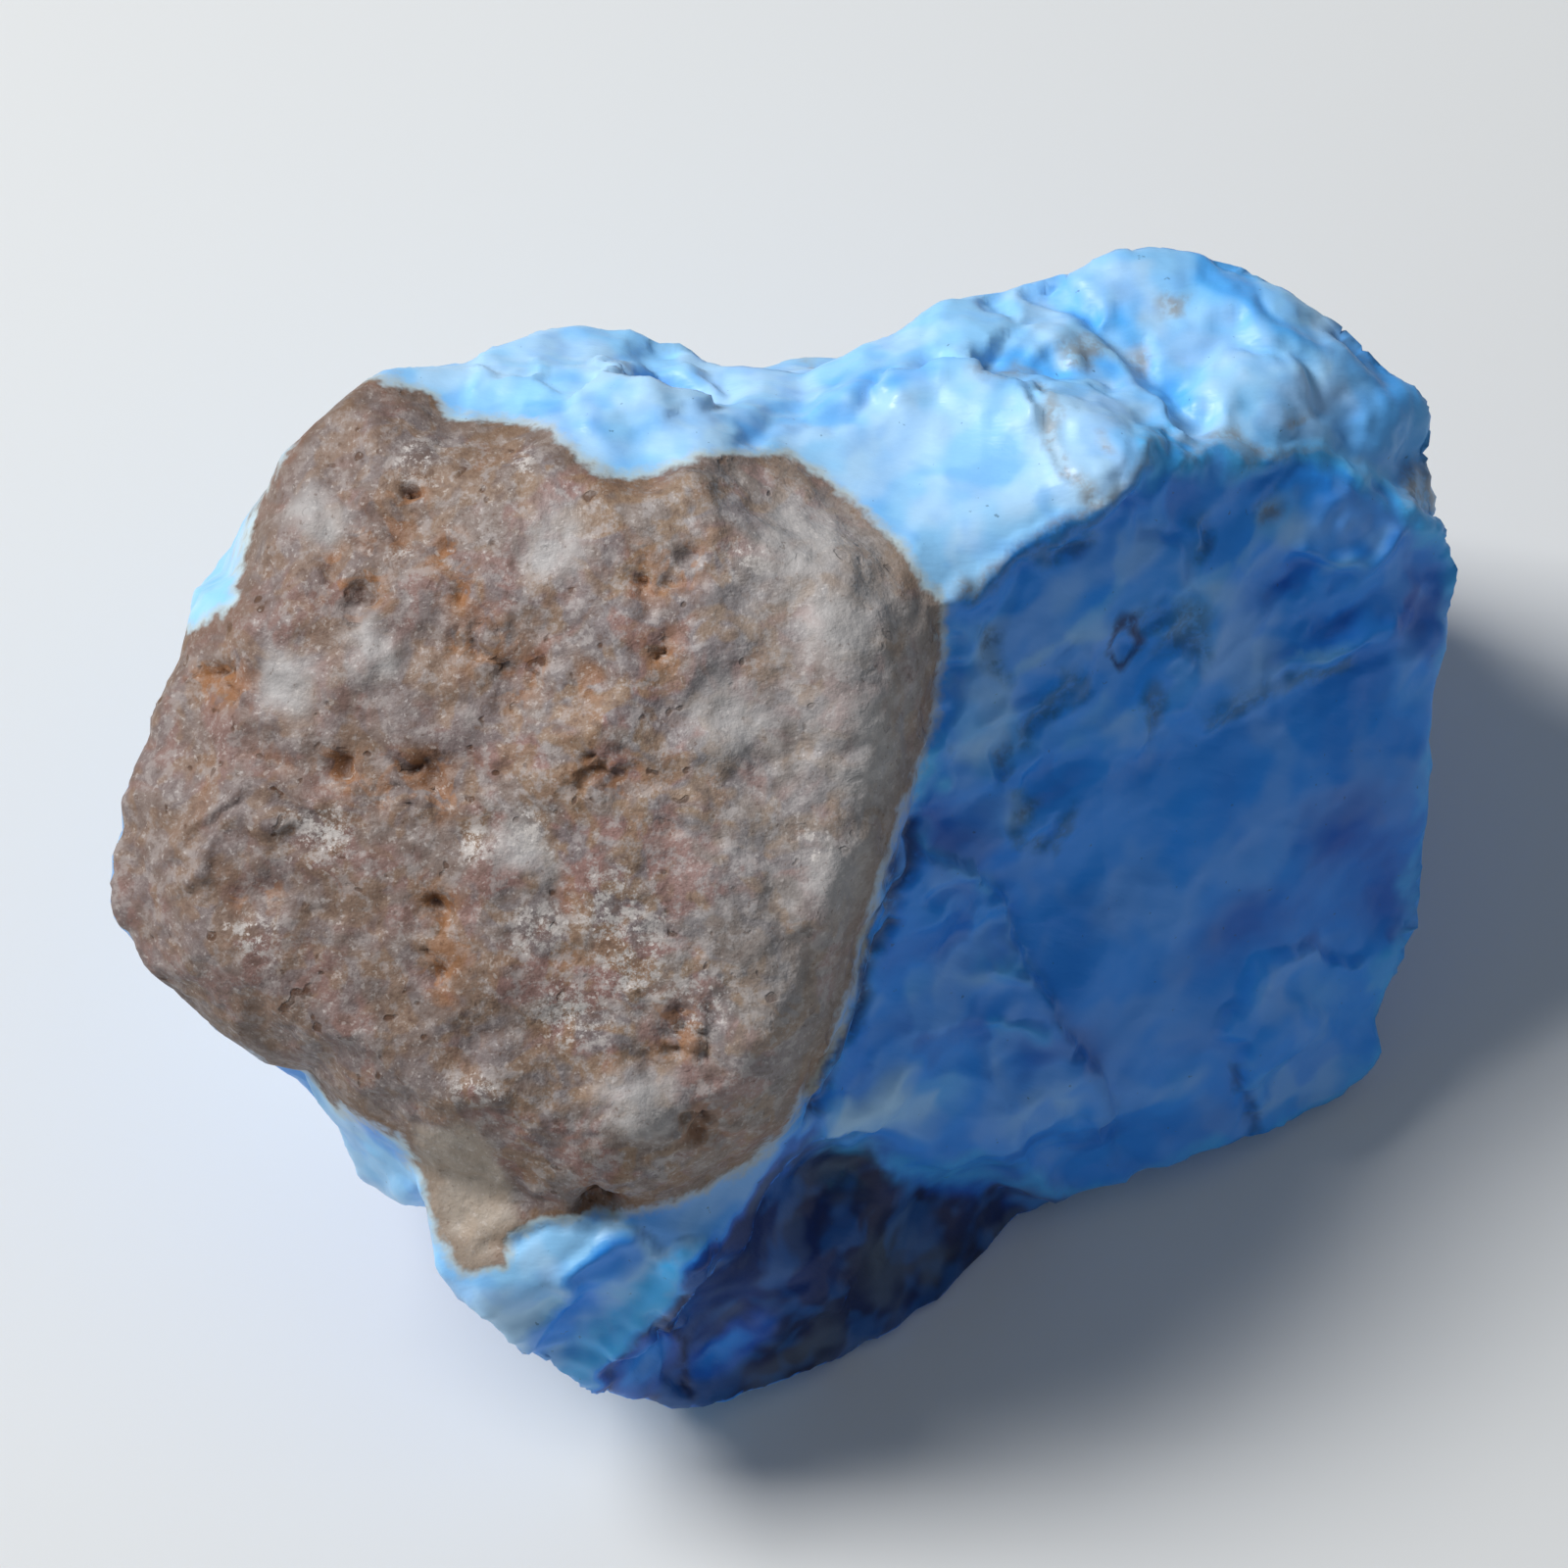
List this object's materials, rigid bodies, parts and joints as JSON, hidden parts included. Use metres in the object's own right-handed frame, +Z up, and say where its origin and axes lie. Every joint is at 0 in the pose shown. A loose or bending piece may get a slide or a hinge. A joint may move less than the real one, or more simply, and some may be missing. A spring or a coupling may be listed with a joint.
{
  "type": "blue opal rough",
  "caption": "Hand-sized lump of rough blue common opal with broken conchoidal faces, a knobbed ridge and a weathered tan rind on top, resting on a flat broken underside.",
  "frame": {"origin": "middle of the bounding box in X and Y, on the flat underside the stone rests on", "axes": "+Z up from the table; +X along the long side of the stone, from the rind towards the large broken face; +Y from the front lobe towards the back"},
  "size_m": [0.0636, 0.0546, 0.0428],
  "materials": {
    "opal": "broken opal: waxy, half-matt, with a dull weathered rind"
  },
  "bodies": {
    "root": {"blue_opal": "opal"}
  },
  "joints": []
}
